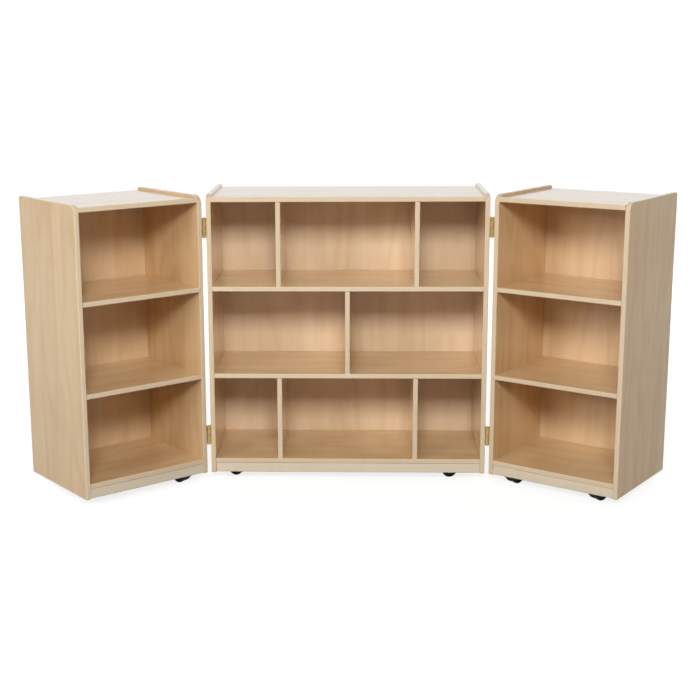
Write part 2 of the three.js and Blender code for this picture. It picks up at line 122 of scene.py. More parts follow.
# Screws, with shares of the head's radius
SCREW_HEAD_RADIUS = 0.0040
SCREW_HEAD_DEPTH = 0.0022
SCREW_SHANK = 0.45
SCREW_RIM = 0.0003  # height of a countersunk head's upright rim
SCREW_CROWN = 0.93
SCREW_CROWN_HEIGHT = 0.0001
PAN_HEIGHT = 0.0024
PAN_RIM = 0.35  # share of a pan head's height at which its dome starts
CROSS_DEPTH = 0.0014
CROSS_HALF_WIDTH = 0.11
CROSS_REACH = 0.55
CROSS_TAPER = 0.35  # share of its reach that is left at the bottom
SCREW_HOLE = 0.5
SCREW_HOLE_GAP = 0.0002  # round the head
SCREW_HOLE_DEPTH = 0.005
SCREW_SIDES = 24

# Hinges
LEAF_THICKNESS = 0.003
LEAF_CORNER_RADIUS = 0.005
LEAF_FRONT_RADIUS = 0.0006  # beside the knuckles
LEAF_EDGE = 0.0004
LEAF_BEVEL = 0.00025  # on edges that are sharp after the cuts
LEAF_SCREW_ROWS = (-1 / 3, 0, 1 / 3)  # shares of the leaf's height
LEAF_SCREW_COLUMNS = (0.35, 0.65, 0.35)  # shares of the plate's width
LEAF_SCREW_TURN = 0.7  # radians from one screw's cross to the next
KNUCKLES = 5
KNUCKLE_GAP = 0.0004
KNUCKLE_OVERLAP = 0.002  # of its strip with the plate
KNUCKLE_FACETS = 36
PIN_RADIUS = 0.003
PIN_CLEARANCE = 0.0002
PIN_TIP_RADIUS = 0.0044
PIN_TIP_HEIGHT = 0.0022
PIN_TIP_RIM = 0.25  # share of that height at which the dome starts
PIN_TIP_GAP = 0.0002  # beyond the knuckles
PIN_SIDES = 32

# Casters
WHEEL_EDGE = 0.002
WHEEL_EDGE_MIDDLE = 0.0006  # how far the middle of that edge lies in from its corner
WHEEL_FACE = (  # (radius, height above the rim), from the axle out
    (0, -0.0012), (0.0026, -0.0013), (0.0036, -0.0022), (0.0048, -0.0031),
    (0.0100, -0.0031), (0.0112, -0.0020), (0.0128, -0.0020), (0.0140, -0.0030),
    (0.0178, -0.0022), (0.0190, -0.0004), (0.0200, 0.0),
)
WHEEL_SIDES = 64
SOLID_WHEEL_SIDES = 16  # of the frame's plainer wheels
SPINE_WIDTH = 0.012
SPINE_GAP = 0.0006
AXLE_RADIUS = 0.003
AXLE_CLEARANCE = 0.0003
HOOD_GAP = 0.0012
HOOD_WALL = 0.0025
HOOD_ARC = (-15, 180)  # degrees about the axle, from level behind it
HOOD_FACETS = 44
HOOD_EDGE = 0.0007
HUB_ARC = (225, 315)
HUB_FACETS = 8
HUB_WALL = 0.004
COLLAR_RADIUS = 0.011
COLLAR_HEIGHT = 0.013
COLLAR_SIDES = 40
KING_PIN_RADIUS = 0.0035
KING_PIN_CLEARANCE = 0.0003
KING_PIN_LENGTH = 0.014
KING_PIN_CHAMFER = 0.0006
KING_PIN_SINK = 0.001  # of its upper end under the plate's top
BOSS_FLOOR = 0.003
PLATE_SIZE = 0.042
PLATE_THICKNESS = 0.0025
PLATE_CORNER_RADIUS = 0.004
PLATE_EDGE = 0.0005
PLATE_SCREW_OFFSET = 0.0145
PLATE_SCREW_SINK = 0.0002
PLATE_SCREW_TURN = 0.6  # radians from one screw's cross to the next

X, Y, Z = range(3)
SMOOTH_ANGLE = math.radians(38)
FLAT = 0.999  # of a normal along an axis, on a board's flat face
ARC_LENGTH = 0.0032  # of one facet round a large corner
ARC_FACETS = (5, 14)  # fewest and most round a corner
EDGE_FACETS = 5  # round a long edge
PLATE_EDGE_FACETS = 2
DOME_FACETS = 6
CUT_SPARE = 0.001  # how far outside the solid a cut starts
WELD_DISTANCE = 1e-6  # nearer points than this are one, after a cut


# Materials

def srgb(red, green, blue):
    """A colour written as 0 to 255, as the linear colour that Blender works in."""
    def linear(value):
        share = value / 255
        return share / 12.92 if share <= 0.04045 else ((share + 0.055) / 1.055) ** 2.4
    return (linear(red), linear(green), linear(blue), 1.0)


class Nodes:
    """A node tree, built in few words."""

    def __init__(self, tree):
        self.tree = tree

    def node(self, kind, inputs=(), **settings):
        made = self.tree.nodes.new("ShaderNode" + kind)
        for key, value in settings.items():
            setattr(made, key, value)
        for key, value in dict(inputs).items():
            self.feed(made.inputs[key], value)
        return made

    def feed(self, socket, value):
        if isinstance(value, bpy.types.NodeSocket):
            self.tree.links.new(value, socket)
        else:
            socket.default_value = value

    def math(self, operation, first, second=0.0):
        return self.node("Math", {0: first, 1: second}, operation=operation).outputs[0]

    def vector(self, operation, *inputs):
        """Vector maths. A length or a dot product is a number, and the rest are vectors."""
        made = self.node("VectorMath", enumerate(inputs), operation=operation)
        return made.outputs["Value" if operation in ("LENGTH", "DOT_PRODUCT") else "Vector"]

    def noise(self, vector, scale=1.0, detail=2.0, roughness=0.5, distortion=0.0):
        inputs = {
            "Vector": vector,
            "Scale": scale,
            "Detail": detail,
            "Roughness": roughness,
            "Distortion": distortion,
        }
        return self.node("TexNoise", inputs).outputs["Fac"]

    def remap(self, value, low, high, to_low=0.0, to_high=1.0):
        inputs = {0: value, 1: low, 2: high, 3: to_low, 4: to_high}
        return self.node("MapRange", inputs, clamp=True).outputs[0]

    def mix(self, share, first, second):
        inputs = {0: share, 6: first, 7: second}
        return self.node("Mix", inputs, data_type="RGBA").outputs[2]

    def seen_share(self, mirrored=1.0):
        """1 where the camera or glass looks, mirrored where a gloss does, and 0 for light that
        falls on things."""
        rays = self.node("LightPath").outputs
        seen = self.math("MAXIMUM", rays["Is Camera Ray"], rays["Is Transmission Ray"])
        gloss = self.math("MULTIPLY", rays["Is Glossy Ray"], mirrored)
        return self.math("MAXIMUM", seen, gloss)


class Shader(Nodes):
    """A material with a Principled BSDF."""

    def __init__(self, name):
        self.material = bpy.data.materials.new(name)
        self.material.use_nodes = True
        super().__init__(self.material.node_tree)
        self.surface = self.tree.nodes["Principled BSDF"]

    def set(self, **values):
        """Sets sockets of the surface, with _ for a space in their names."""
        for key, value in values.items():
            self.feed(self.surface.inputs[key.replace("_", " ")], value)

    def bump(self, height, distance, strength):
        inputs = {"Height": height, "Distance": distance, "Strength": strength}
        self.set(Normal=self.node("Bump", inputs).outputs[0])


def wood(name, light, dark, ring_contrast, figure, gloss):
    """Clear-lacquered wood. wood_at holds a point's place in its sheet of veneer, in metres:
    along the grain, across it, and a number of the piece's own."""
    shader = Shader(name)
    at = shader.node("Attribute", attribute_name="wood_at").outputs["Vector"]
    layers = {}
    for layer, (along, across, *noise) in GRAIN_LAYERS.items():
        layers[layer] = shader.noise(shader.vector("MULTIPLY", at, (along, across, 1)), *noise)

    # Growth rings, cut nearly along their surfaces: long contour lines
    level = shader.math("MULTIPLY", layers["drift"], figure)
    phase = shader.math("ADD", level, shader.math("MULTIPLY", layers["ripple"], RING_RIPPLE))
    ring = shader.math("SINE", shader.math("MULTIPLY", phase, 2 * math.pi))
    ring = shader.math("POWER", shader.remap(ring, -1, 1), RING_SHARPNESS)

    # Soft streaks, fibres, curl and the piece's own shade darken it further
    share = shader.math("MULTIPLY", ring, ring_contrast)
    for layer, low, high, weight in GRAIN_TINTS:
        share = shader.math("ADD", share, shader.remap(layers[layer], low, high, 0.0, weight))
    colour = shader.mix(share, light, dark)
    pores = shader.remap(layers["pores"], *PORE_RANGE, 0.0, PORE_DARKNESS)
    shader.set(Base_Color=shader.mix(pores, colour, PORE_COLOUR))

    # A glossy lacquer over wood that still shows a trace of its pores
    fine = layers["fine"]
    shader.set(Roughness=shader.remap(fine, 0.2, 0.8, 0.38, 0.52), Specular_IOR_Level=0.12)
    shader.set(Coat_Weight=1.0, Coat_Roughness=gloss, Coat_IOR=1.5)
    height = shader.math("ADD", fine, shader.math("MULTIPLY", layers["pores"], PORE_HEIGHT))
    shader.bump(height, distance=0.00012, strength=0.35)
    return shader.material


def brass():
    """Dull yellow brass plate, with fine scratches and a slight tarnish."""
    shader = Shader("brass")
    at = shader.node("TexCoord").outputs["Object"]
    tarnish = shader.noise(at, scale=90.0, detail=4.0, roughness=0.6)
    upright_streaks = shader.vector("MULTIPLY", at, (900, 900, 60))
    scratches = shader.noise(upright_streaks, detail=2.0, roughness=0.6)
    colour = shader.mix(shader.remap(tarnish, 0.35, 0.7), srgb(252, 224, 156), srgb(224, 192, 126))
    shader.set(Base_Color=colour, Metallic=1.0)
    shader.set(Roughness=shader.remap(scratches, 0.3, 0.7, 0.26, 0.44))
    shader.bump(scratches, distance=0.00004, strength=0.5)
    return shader.material


def zinc():
    """Zinc-plated steel, faintly blue, with the plating's cloudy spangle."""
    shader = Shader("zinc")
    at = shader.node("TexCoord").outputs["Object"]
    cloud = shader.noise(at, scale=160.0, detail=4.0, roughness=0.6)
    colour = shader.mix(shader.remap(cloud, 0.3, 0.7), srgb(186, 190, 194), srgb(150, 152, 152))
    shader.set(Base_Color=colour, Metallic=1.0)
    shader.set(Roughness=shader.remap(cloud, 0.3, 0.7, 0.24, 0.42))
    shader.bump(cloud, distance=0.00005, strength=0.3)
    return shader.material


def moulded(name, colour, worn, roughness, grain):
    """Moulded black plastic with a fine spark texture, a little lighter where it has rubbed."""
    shader = Shader(name)
    at = shader.node("TexCoord").outputs["Object"]
    spark = shader.noise(at, scale=grain, detail=3.0, roughness=0.6)
    rubbed = shader.noise(at, scale=70.0, detail=5.0, roughness=0.65)
    share = shader.remap(rubbed, 0.52, 0.72, 0.0, 0.6)
    shader.set(Base_Color=shader.mix(share, colour, worn))
    shader.set(Roughness=shader.remap(rubbed, 0.3, 0.8, roughness, roughness + 0.2))
    shader.bump(spark, distance=0.00008, strength=0.4)
    return shader.material


PORE_COLOUR = srgb(150, 112, 72)
VENEER = wood("birch_veneer", srgb(238, 208, 163), srgb(212, 171, 120), 0.20, 9.0, 0.10)
BAND = wood("birch_edge_band", srgb(234, 213, 182), srgb(216, 190, 154), 0.10, 3.0, 0.14)
BACK = wood("birch_back_sheet", srgb(239, 212, 173), srgb(216, 179, 135), 0.22, 8.0, 0.16)
# The centre's back is a paler, less saturated copy of the back sheet's wood: painted light,
# standing in for the frontal light that falls into the centre section.
CENTRE_BACK_PAINTED_LIGHT = wood("pale_birch_back_sheet", srgb(243, 222, 191), srgb(222, 192, 154), 0.22, 8.0, 0.16)
RAIL = wood("birch_rail", srgb(236, 221, 195), srgb(219, 200, 170), 0.16, 7.0, 0.12)
BRASS = brass()
ZINC = zinc()
HOUSING = moulded("caster_housing_plastic", srgb(24, 25, 27), srgb(48, 49, 51), 0.34, 2400.0)
TREAD = moulded("caster_wheel_plastic", srgb(17, 18, 19), srgb(58, 57, 55), 0.45, 1500.0)


# Shapes

def quarter_angles(steps):
    """Angles from level to upright, both included."""
    return [step / steps * math.pi / 2 for step in range(steps + 1)]


def rounded_rectangle(x0, y0, x1, y1, radii, inset=0.0):
    """Points round a rectangle, anticlockwise. radii start at the corner at (x0, y0), and a
    corner of radius zero stays sharp."""
    corners = ((x0, y0, 1, 1), (x1, y0, -1, 1), (x1, y1, -1, -1), (x0, y1, 1, -1))
    points = []
    for quarter, (x, y, inward_x, inward_y) in enumerate(corners):
        radius = radii[quarter]
        if radius == 0:
            points.append((x + inward_x * inset, y + inward_y * inset))
            continue
        fewest, most = ARC_FACETS
        steps = min(most, max(fewest, math.ceil(radius * math.pi / 2 / ARC_LENGTH)))
        for step in range(steps + 1):
            angle = math.pi + (quarter + step / steps) * math.pi / 2
            reach = radius - inset
            points.append((
                x + inward_x * radius + reach * math.cos(angle),
                y + inward_y * radius + reach * math.sin(angle),
            ))
    return points


def rounded_ends(start, end, radius, steps=EDGE_FACETS):
    """(position, inset) along an extrusion whose two end edges are rounded."""
    rise = [(radius * (1 - math.sin(a)), radius * (1 - math.cos(a))) for a in quarter_angles(steps)]
    first = [(start + along, inset) for inset, along in rise]
    last = [(end - along, inset) for inset, along in reversed(rise)]
    return first + last


def loft(mesh, rings):
    """Faces between closed rings of points, with a cap at each end."""
    rows = [[mesh.verts.new(point) for point in ring] for ring in rings]
    for low, high in zip(rows, rows[1:]):
        for index, corner in enumerate(low):
            after = (index + 1) % len(low)
            mesh.faces.new((corner, low[after], high[after], high[index]))
    mesh.faces.new(list(reversed(rows[0])))
    mesh.faces.new(rows[-1])


def lathe(mesh, profile, sides, place, spot=(0, 0, 0)):
    """A closed solid turned from (radius, height) pairs that start and end on the axis. place
    turns an upright point to where the axis lies, and the whole is then moved to spot."""
    before = len(mesh.verts)
    rings = []
    for radius, height in profile:
        count = 1 if radius == 0 else sides
        angles = [2 * math.pi * index / sides for index in range(count)]
        rings.append([
            mesh.verts.new(place(radius * math.cos(a), radius * math.sin(a), height))
            for a in angles
        ])
    for low, high in zip(rings, rings[1:]):
        for index in range(sides):
            after = (index + 1) % sides
            around = [
                low[index % len(low)],
                low[after % len(low)],
                high[after % len(high)],
                high[index % len(high)],
            ]
            unique = [vert for n, vert in enumerate(around) if vert not in around[:n]]
            mesh.faces.new(unique)
    mesh.verts.ensure_lookup_table()
    bmesh.ops.translate(mesh, verts=mesh.verts[before:], vec=spot)


def upright(x, y, z):
    return (x, y, z)


def across_y(x, y, z):
    """Turns an upright shape so that its axis lies along Y."""
    return (y, z, x)


def across_x(x, y, z):
    """Turns an upright shape so that its axis lies along X."""
    return (z, x, y)


def cylinder(radius, low, high):
    """A plain round bar's profile."""
    return [(0, low), (radius, low), (radius, high), (0, high)]


def mesh_from(name, build, mark=None):
    """A mesh from a function that fills a bmesh, with its normals out. mark then marks its
    faces."""
    made = bmesh.new()
    build(made)
    bmesh.ops.recalc_face_normals(made, faces=made.faces)
    if mark:
        mark(made)
    data = bpy.data.meshes.new(name)
    made.to_mesh(data)
    made.free()
    return data


def turned(name, profile, sides, place, spot=(0, 0, 0)):
    """A lathe's solid as a mesh of its own."""
    return mesh_from(name, lambda made: lathe(made, profile, sides, place, spot))


def copies(name, data, places):
    """One mesh made of copies of another at the given matrices."""
    made = bmesh.new()
    for place in places:
        before = len(made.verts)
        made.from_mesh(data)
        made.verts.ensure_lookup_table()
        bmesh.ops.transform(made, matrix=place, verts=made.verts[before:])
    result = bpy.data.meshes.new(name)
    made.to_mesh(result)
    made.free()
    return result


def mirror(data):
    """The mesh mirrored across x = 0."""
    made = bmesh.new()
    made.from_mesh(data)
    bmesh.ops.scale(made, verts=made.verts, vec=(-1, 1, 1))
    bmesh.ops.reverse_faces(made, faces=made.faces)
    result = bpy.data.meshes.new(data.name)
    made.to_mesh(result)
    made.free()
    return result


def add_object(name, data):
    """An object in the scene."""
    made = bpy.data.objects.new(name, data)
    bpy.context.scene.collection.objects.link(made)
    return made


def applied(target):
    """The object's mesh with its modifiers applied. The object goes."""
    bpy.context.view_layer.update()
    graph = bpy.context.evaluated_depsgraph_get()
    result = bpy.data.meshes.new_from_object(target.evaluated_get(graph))
    bpy.data.objects.remove(target)
    return result


def combine(name, base, *changes):
    """Joins or cuts base with other meshes. changes are (operation, mesh) pairs."""
    target = add_object(name, base)
    tools = []
    for operation, data in changes:
        tool = add_object(name + "_tool", data)
        tools.append(tool)
        modifier = target.modifiers.new(operation.lower(), "BOOLEAN")
        modifier.operation = operation
        modifier.solver = "EXACT"
        modifier.object = tool
    weld = target.modifiers.new("weld", "WELD")
    weld.merge_threshold = WELD_DISTANCE
    result = applied(target)
    for tool in tools:
        bpy.data.objects.remove(tool)
    return result


def bevelled(data, width):
    """The mesh with a flat bevel on its sharp edges."""
    target = add_object("bevelled", data)
    modifier = target.modifiers.new("edges", "BEVEL")
    modifier.width = width
    modifier.segments = 1
    modifier.limit_method = "ANGLE"
    modifier.angle_limit = SMOOTH_ANGLE
    modifier.use_clamp_overlap = True
    return applied(target)


def box_in(place, node):
    """A node's lowest and highest corners in the axes that place turns to the frame's."""
    back = place.inverted()
    points = [back @ vertex.co for vertex in NODES[node].data.vertices]
    low = Vector(min(point[axis] for point in points) for axis in range(3))
    high = Vector(max(point[axis] for point in points) for axis in range(3))
    return low, high


def add_piece(name, data, place, body, node, slot, *materials):
    """A piece of the bookcase from a mesh, shaded smooth except at its edges."""
    if not data.materials:
        for material in materials:
            data.materials.append(material)
        data.polygons.foreach_set("use_smooth", [True] * len(data.polygons))
        data.set_sharp_from_angle(angle=SMOOTH_ANGLE)
    piece = add_object(name, data)
    piece.matrix_world = place
    weighted = piece.modifiers.new("normals", "WEIGHTED_NORMAL")
    weighted.keep_sharp = True
    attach(piece, body)
    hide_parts(node)


# Wood pieces

def lay_grain(made, name, coordinates, flat_axis):
    """Stores each corner's place in the veneer. A board's flat faces, square to flat_axis, are
    veneered, and the others have an edge band."""
    layer = made.loops.layers.float_vector.new("wood_at")
    chance = random.Random(name)
    along_start = chance.uniform(0, VENEER_START)
    across_start = chance.uniform(0, VENEER_START)
    own = chance.uniform(0, VENEER_START)
    for face in made.faces:
        band = abs(face.normal[flat_axis]) < FLAT
        face.material_index = 1 if band else 0
        for corner in face.loops:
            along, across = coordinates(face, corner.vert.co, band)
            corner[layer] = (along + along_start, across + across_start, own)


def wood_mesh(name, rings, coordinates, flat_axis):
    """A board from its rings. coordinates gives a point's place along and across the grain."""
    return mesh_from(
        name,
        lambda made: loft(made, rings),
        lambda made: lay_grain(made, name, coordinates, flat_axis),
    )


class Section:
    """One section of the bookcase in its own axes: x across from its middle, y back from its
    front edges and z up."""

    def __init__(self, name, sides, rotation):
        self.name = name
        self.rotation = rotation
        boxes = [box_in(rotation, side) for side in sides]
        middle = (boxes[0][0].x + boxes[1][1].x) / 2
        front = min(low.y for low, high in boxes)
        self.place = rotation @ Matrix.Translation((middle, front, 0))
        self.left, self.right = sides
        left_low, left_high = self.box(self.left)
        self.inner_left = left_high.x
        self.inner_right = self.box(self.right)[0].x
        self.thickness = left_high.x - left_low.x

    def box(self, node):
        """A node's lowest and highest corners in the section's axes."""
        return box_in(self.place, node)

    def add(self, name, data, node, slot, *materials):
        """Adds a piece drawn in the section's axes. Its place goes into its mesh."""
        data.transform(self.place)
        add_piece(name, data, Matrix.Identity(4), self.name, node, slot, *materials)

    def side(self, node):
        """A side panel, with its corners and all its edges rounded."""
        low, high = self.box(node)
        radii = (FOOT_RADIUS, FOOT_RADIUS, UPPER_BACK_RADIUS, UPPER_FRONT_RADIUS)
        rings = []
        for x, inset in rounded_ends(low.x, high.x, EDGE_RADIUS):
            outline = rounded_rectangle(low.y, low.z, high.y, high.z, radii, inset)
            rings.append([(x, y, z) for y, z in outline])

        def coordinates(face, point, band):
            if not band:
                return point.z, point.y
            level = abs(face.normal.z) > abs(face.normal.y)
            return (point.y if level else point.z), point.x

        data = wood_mesh(node, rings, coordinates, X)
        self.add(node + "_veneered", data, node, "birch", VENEER, BAND)

    def between_sides(self, outline):
        """The two end rings of a board that runs from side to side, from its outline."""
        ends = (self.inner_left + JOINT_GAP, self.inner_right - JOINT_GAP)
        return [[(x, y, z) for y, z in outline] for x in ends]

    def board(self, node, outline):
        """A level board from side to side. Its front edge is banded."""
        name = node + "_veneered"
        data = wood_mesh(
            name,
            self.between_sides(outline),
            lambda face, point, band: (point.x, point.z if band else point.y),
            Z,
        )
        self.add(name, data, node, "birch", VENEER, BAND)

    def shelf(self, node):
        low, high = self.box(node)
        radii = (EDGE_RADIUS, EASED_EDGE, EASED_EDGE, EDGE_RADIUS)
        self.board(node, rounded_rectangle(low.y, low.z, high.y, high.z, radii))

    def end_board(self, node, rebate_up):
        """The top or bottom board, with the rebate that takes the back panel's edge."""
        low, high = self.box(node)
        low_z = high.z - self.thickness
        panel_low, panel_high = self.box(self.name + "_back_panel")
        step_y = panel_low.y - JOINT_GAP
        step_z = panel_low.z - JOINT_GAP if rebate_up else panel_high.z + JOINT_GAP
        radii = (EDGE_RADIUS, 0, 0, EDGE_RADIUS)
        outline = rounded_rectangle(low.y, low_z, high.y, high.z, radii)
        if rebate_up:
            at = outline.index((high.y, high.z))
            outline[at:at + 1] = [(high.y, step_z), (step_y, step_z), (step_y, high.z)]
        else:
            at = outline.index((high.y, low_z))
            outline[at:at + 1] = [(step_y, low_z), (step_y, step_z), (high.y, step_z)]
        self.board(node, outline)

    def rail(self):
        """The front rail, under the bottom board's front edge."""
        node = self.name + "_bottom_board"
        low, high = self.box(node)
        radii = (EDGE_RADIUS, EDGE_RADIUS, EASED_EDGE, EASED_EDGE)
        top = high.z - self.thickness - JOINT_GAP
        back = RAIL_SETBACK + RAIL_THICKNESS
        outline = rounded_rectangle(RAIL_SETBACK, low.z, back, top, radii)
        name = self.name + "_front_rail"
        data = wood_mesh(
            name,
            self.between_sides(outline),
            lambda face, point, band: (point.x, point.y if band else point.z),
            Y,
        )
        self.add(name, data, node, "birch", RAIL, RAIL)

    def divider(self, node):
        low, high = self.box(node)
        radii = (EDGE_RADIUS, EDGE_RADIUS, EASED_EDGE, EASED_EDGE)
        outline = rounded_rectangle(low.x, low.y, high.x, high.y, radii)
        data = wood_mesh(
            node,
            [[(x, y, z) for x, y in outline] for z in (low.z, high.z)],
            lambda face, point, band: (point.z, point.x if band else point.y),
            X,
        )
        self.add(node + "_veneered", data, node, "birch", VENEER, BAND)

    def back_panel(self, sheet):
        # sheet is the back's wood; the centre's is the paler copy, with painted light.
        node = self.name + "_back_panel"
        low, high = self.box(node)
        outline = rounded_rectangle(low.z, low.x, high.z, high.x, [EASED_EDGE] * 4)
        data = wood_mesh(
            node,
            [[(x, y, z) for z, x in outline] for y in (low.y, high.y)],
            lambda face, point, band: (point.z, point.y if band else point.x),
            Y,
        )
        self.add(node + "_veneered", data, node, "birch_back", sheet, BAND)


# Screws

def cut_cross(head, top):
    """The screw head with crossed tapering slots cut into its top."""
    half_width = SCREW_HEAD_RADIUS * CROSS_HALF_WIDTH

    def crossed(made):
        rings = []
        for z, share in ((-CROSS_DEPTH, CROSS_TAPER), (CROSS_DEPTH, 1.0)):
            half_length = SCREW_HEAD_RADIUS * CROSS_REACH * share
            corners = (
                (half_length, -half_width), (half_length, half_width), (half_width, half_width)
            )
            turns = [Matrix.Rotation(quarter * math.pi / 2, 2) for quarter in range(4)]
            rings.append([
                (*(turn @ Vector(corner)), z) for turn in turns for corner in corners
            ])
        loft(made, rings)
        bmesh.ops.translate(made, verts=made.verts, vec=(0, 0, top))

    return combine("screw", head, ("DIFFERENCE", mesh_from("cross", crossed)))


def countersunk_screw():
    """A countersunk screw's head, with its flat top at z = 0 and its axis upright."""
    profile = [
        (0, -SCREW_HEAD_DEPTH),
        (SCREW_HEAD_RADIUS * SCREW_SHANK, -SCREW_HEAD_DEPTH),
        (SCREW_HEAD_RADIUS, -SCREW_RIM),
        (SCREW_HEAD_RADIUS, 0),
        (SCREW_HEAD_RADIUS * SCREW_CROWN, SCREW_CROWN_HEIGHT),
        (0, SCREW_CROWN_HEIGHT),
    ]
    return cut_cross(turned("screw_head", profile, SCREW_SIDES, upright), SCREW_CROWN_HEIGHT)


def pan_screw():
    """A pan-head screw's head, standing on z = 0."""
    profile = [(0, 0), (SCREW_HEAD_RADIUS, 0), (SCREW_HEAD_RADIUS, PAN_HEIGHT * PAN_RIM)]
    for angle in quarter_angles(DOME_FACETS)[1:-1]:
        profile.append((
            SCREW_HEAD_RADIUS * (PAN_RIM + (1 - PAN_RIM) * math.cos(angle)),
            PAN_HEIGHT * (PAN_RIM + (1 - PAN_RIM) * math.sin(angle)),
        ))
    profile.append((0, PAN_HEIGHT))
    return cut_cross(turned("screw_head", profile, SCREW_SIDES, upright), PAN_HEIGHT)


# Hinges

class Hinge:
    """The sizes of a butt hinge, from its fixed leaf. Its own axes have the pin upright at the
    origin, x towards the side that carries the leaf and y back along that side."""

    def __init__(self, node, pin):
        low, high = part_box(node)
        self.height = high.z - low.z
        self.reach = high.y - pin.y
        self.knuckle_radius = PIN_RADIUS + LEAF_THICKNESS
        self.inner = self.knuckle_radius - LEAF_THICKNESS
        self.plate_front = self.knuckle_radius + KNUCKLE_GAP
        spare = self.height - (KNUCKLES - 1) * KNUCKLE_GAP
        self.knuckle_height = spare / KNUCKLES

    def screw_points(self):
        width = self.reach - self.plate_front
        return [
            (self.plate_front + column * width, row * self.height)
            for row, column in zip(LEAF_SCREW_ROWS, LEAF_SCREW_COLUMNS)
        ]

    def plate(self, made):
        half = self.height / 2
        radii = (LEAF_FRONT_RADIUS, LEAF_CORNER_RADIUS, LEAF_CORNER_RADIUS, LEAF_FRONT_RADIUS)
        rings = []
        for x, inset in rounded_ends(
            self.inner, self.knuckle_radius, LEAF_EDGE, PLATE_EDGE_FACETS
        ):
            outline = rounded_rectangle(self.plate_front, -half, self.reach, half, radii, inset)
            rings.append([(x, y, z) for y, z in outline])
        loft(made, rings)

    def knuckle(self, made, index):
        """One knuckle, rolled from the plate: a strip that curls round the pin."""
        radius = self.knuckle_radius
        sweep = 2 * math.pi - math.acos(self.inner / radius)
        angles = [-sweep * step / KNUCKLE_FACETS for step in range(KNUCKLE_FACETS + 1)]
        outline = [(radius * math.cos(a), radius * math.sin(a)) for a in angles]
        strip_end = self.plate_front + KNUCKLE_OVERLAP
        outline += [(self.inner, strip_end), (radius, strip_end)]
        low = -self.height / 2 + index * (self.knuckle_height + KNUCKLE_GAP)
        rings = [
            [(x, y, z) for x, y in reversed(outline)]
            for z in (low, low + self.knuckle_height)
        ]
        loft(made, rings)

    def holes(self, made):
        wide, narrow = SCREW_HEAD_RADIUS + SCREW_HOLE_GAP, SCREW_HEAD_RADIUS * SCREW_HOLE
        profile = [(0, -CUT_SPARE), (wide, -CUT_SPARE), (wide, 0), (narrow, SCREW_HEAD_DEPTH)]
        profile += [(narrow, SCREW_HOLE_DEPTH), (0, SCREW_HOLE_DEPTH)]
        for y, z in self.screw_points():
            lathe(made, profile, SCREW_SIDES, across_x, (self.inner, y, z))

    def leaf(self, own, bored, mirrored):
        """A leaf's mesh with its own knuckles, its screw holes and its bore for the pin."""
        changes = []
        for index in own:
            knuckle = mesh_from("knuckle", lambda made: self.knuckle(made, index))
            changes.append(("UNION", knuckle))
        changes.append(("DIFFERENCE", mesh_from("holes", self.holes)))
        if bored:
            half = self.height / 2 + CUT_SPARE
            bore = cylinder(PIN_RADIUS + PIN_CLEARANCE, -half, half)
            changes.append(("DIFFERENCE", turned("bore", bore, PIN_SIDES, upright)))
        cut = combine("hinge_leaf", mesh_from("plate", self.plate), *changes)
        data = bevelled(cut, LEAF_BEVEL)
        return mirror(data) if mirrored else data

    def pin(self):
        """The pin, with a button tip at each end."""
        half = self.height / 2
        profile = [(0, half + PIN_TIP_HEIGHT)]
        for angle in quarter_angles(DOME_FACETS)[1:]:
            rise = PIN_TIP_RIM + (1 - PIN_TIP_RIM) * math.cos(angle)
            profile.append((PIN_TIP_RADIUS * math.sin(angle), half + PIN_TIP_HEIGHT * rise))
        profile += [(PIN_TIP_RADIUS, half + PIN_TIP_GAP), (PIN_RADIUS, half + PIN_TIP_GAP)]
        profile += [(radius, -height) for radius, height in reversed(profile)]
        return turned("hinge_pin", profile, PIN_SIDES, upright)


def add_hinges(wing):
    """A wing's two hinges: the leaf and pin on the centre section, and the leaf on the wing."""
    to_left = wing.name == "left_wing"
    pin = Vector(JOINTS[wing.name + "_fold"]["pos_m"])
    sample = Hinge(f"{wing.name}_upper_hinge_fixed_leaf", pin)
    leaves = {
        "fixed": sample.leaf(range(0, KNUCKLES, 2), False, not to_left),
        "wing": sample.leaf(range(1, KNUCKLES, 2), True, to_left),
    }
    pin_mesh = sample.pin()
    turn = Matrix.Rotation(-math.pi / 2, 4, "Y")
    spots = [
        Matrix.Translation((sample.inner, y, z)) @ turn
        @ Matrix.Rotation(LEAF_SCREW_TURN * n, 4, "Z")
        for n, (y, z) in enumerate(sample.screw_points())
    ]
    screws = copies("leaf_screws", countersunk_screw(), spots)
    screw_meshes = {
        "fixed": screws if to_left else mirror(screws),
        "wing": mirror(screws) if to_left else screws.copy(),
    }
    for level in ("upper", "lower"):
        for kind, body, rotation in (
            ("fixed", "centre", Matrix.Identity(4)),
            ("wing", wing.name, wing.rotation),
        ):
            node = f"{wing.name}_{level}_hinge_{kind}_leaf"
            low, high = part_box(node)
            place = Matrix.Translation((pin.x, pin.y, (low.z + high.z) / 2)) @ rotation
            add_piece(node + "_rolled", leaves[kind], place, body, node, "brass", BRASS)
            add_piece(node + "_screws", screw_meshes[kind], place, body, node, "brass", BRASS)
            if kind == "fixed":
                pin_name = f"{wing.name}_{level}_hinge_pin"
                add_piece(pin_name, pin_mesh, place, body, node, "brass", BRASS)


# Casters

